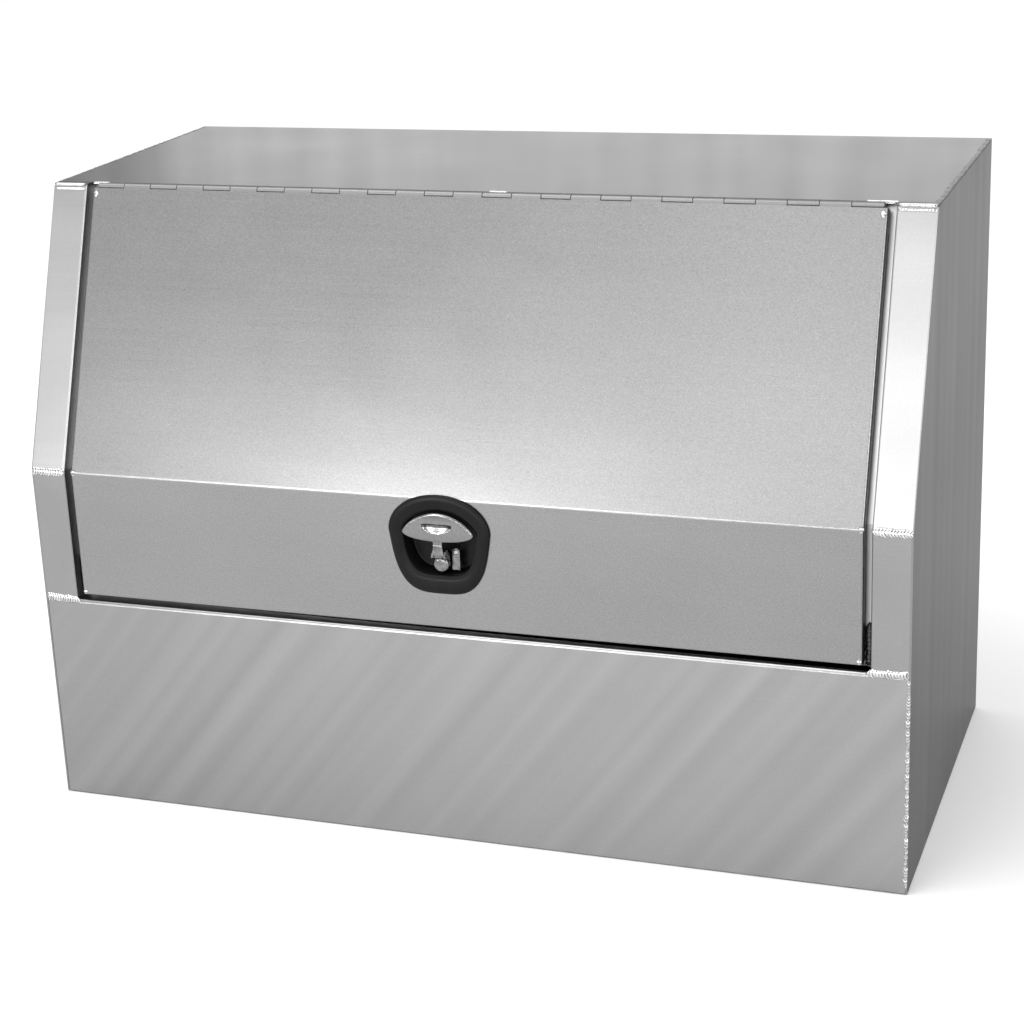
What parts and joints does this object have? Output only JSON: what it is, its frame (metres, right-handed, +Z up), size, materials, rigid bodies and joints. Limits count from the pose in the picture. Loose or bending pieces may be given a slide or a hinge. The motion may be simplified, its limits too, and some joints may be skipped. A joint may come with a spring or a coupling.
{
  "type": "truck tool box",
  "caption": "Half-slope side-opening aluminium truck tool box with a top-hinged front door, gas struts, a rubber door seal and a folding T-handle lock.",
  "frame": {"origin": "centre of the underside, on the surface the box stands on, half way between the front and back panels", "axes": "+X along the box's length to the right of someone facing the door, +Y from the door to the back, +Z up"},
  "size_m": [1.2, 0.6078, 0.8505],
  "materials": {
    "mill_aluminium": "mill finish, fine grain, lightly brushed",
    "zinc_steel": "bright zinc plate",
    "bright_chrome": "satin to bright chrome",
    "polished_rod": "hard chrome, polished",
    "black_moulding": "satin black moulding",
    "seal_rubber": "matt extruded sponge rubber",
    "strut_black": "semi-gloss black"
  },
  "bodies": {
    "box": {"base_panel": "mill_aluminium", "back_panel": "mill_aluminium", "top_panel": "mill_aluminium", "front_panel": "mill_aluminium", "end_panel_left": "mill_aluminium", "end_panel_right": "mill_aluminium", "header_rail": "mill_aluminium", "door_seal": "seal_rubber", "hinge_body_leaf": "mill_aluminium", "hinge_pin": "zinc_steel", "body_bracket_left": "zinc_steel", "body_bracket_right": "zinc_steel", "body_stud_left": "zinc_steel", "body_stud_right": "zinc_steel"},
    "door": {"door_skin": "mill_aluminium", "door_seal_rail": "mill_aluminium", "hinge_door_leaf": "mill_aluminium", "door_bracket_left": "zinc_steel", "door_bracket_right": "zinc_steel", "door_stud_left": "zinc_steel", "door_stud_right": "zinc_steel", "latch_dish": "black_moulding", "latch_gasket": "seal_rubber", "latch_clamp_plate": "zinc_steel", "latch_screw_1": "zinc_steel", "latch_screw_2": "zinc_steel", "latch_screw_3": "zinc_steel", "latch_screw_4": "zinc_steel", "lock_barrel": "bright_chrome", "cover_rivet": "zinc_steel"},
    "spindle": {"latch_spindle": "bright_chrome", "fold_pin": "zinc_steel", "spindle_spacer": "zinc_steel", "latch_pawl": "zinc_steel", "spindle_washer": "zinc_steel", "spindle_nut": "zinc_steel"},
    "handle": {"latch_handle": "bright_chrome"},
    "cover": {"key_cover": "bright_chrome"},
    "plug": {"lock_plug": "zinc_steel"},
    "cylinder_left": {"strut_cylinder_left": "strut_black", "body_socket_left": "strut_black"},
    "cylinder_right": {"strut_cylinder_right": "strut_black", "body_socket_right": "strut_black"},
    "rod_left": {"strut_rod_left": "polished_rod", "door_socket_left": "strut_black"},
    "rod_right": {"strut_rod_right": "polished_rod", "door_socket_right": "strut_black"}
  },
  "joints": [
    {"name": "door_hinge", "type": "hinge", "parent": "box", "child": "door", "pos_m": [0, -0.15365, 0.84587], "axis": [-1, 0, 0], "range_deg": [0, 85]},
    {"name": "handle_fold", "type": "hinge", "parent": "spindle", "child": "handle", "pos_m": [-0.008, -0.3005, 0.407], "axis": [1, 0, 0], "range_deg": [0, 90]},
    {"name": "spindle_turn", "type": "hinge", "parent": "door", "child": "spindle", "pos_m": [-0.008, -0.3, 0.3915], "axis": [0, -1, 0], "range_deg": [0, 90]},
    {"name": "key_cover_swing", "type": "hinge", "parent": "door", "child": "cover", "pos_m": [0.0095, -0.2865, 0.407], "axis": [0, -1, 0], "range_deg": [0, 90]},
    {"name": "key_turn", "type": "hinge", "parent": "door", "child": "plug", "pos_m": [0.0095, -0.2865, 0.391], "axis": [0, -1, 0], "range_deg": [0, 90]},
    {"name": "strut_swing_left", "type": "hinge", "parent": "box", "child": "cylinder_left", "pos_m": [-0.512, 0.084, 0.67742], "axis": [-1, 0, 0], "range_deg": [0, 42.5]},
    {"name": "rod_swing_left", "type": "hinge", "parent": "door", "child": "rod_left", "pos_m": [-0.512, -0.23066, 0.56494], "axis": [-1, 0, 0], "range_deg": [-42.5, 0]},
    {"name": "strut_swing_right", "type": "hinge", "parent": "box", "child": "cylinder_right", "pos_m": [0.512, 0.084, 0.67742], "axis": [-1, 0, 0], "range_deg": [0, 42.5]},
    {"name": "rod_swing_right", "type": "hinge", "parent": "door", "child": "rod_right", "pos_m": [0.512, -0.23066, 0.56494], "axis": [-1, 0, 0], "range_deg": [-42.5, 0]}
  ],
  "couplings": [
    {"joint": "spindle_turn", "follows": "handle_fold", "ratio": 1},
    {"joint": "strut_swing_left", "follows": "door_hinge", "ratio": 0.5},
    {"joint": "rod_swing_left", "follows": "door_hinge", "ratio": -0.5},
    {"joint": "strut_swing_right", "follows": "door_hinge", "ratio": 0.5},
    {"joint": "rod_swing_right", "follows": "door_hinge", "ratio": -0.5}
  ]
}
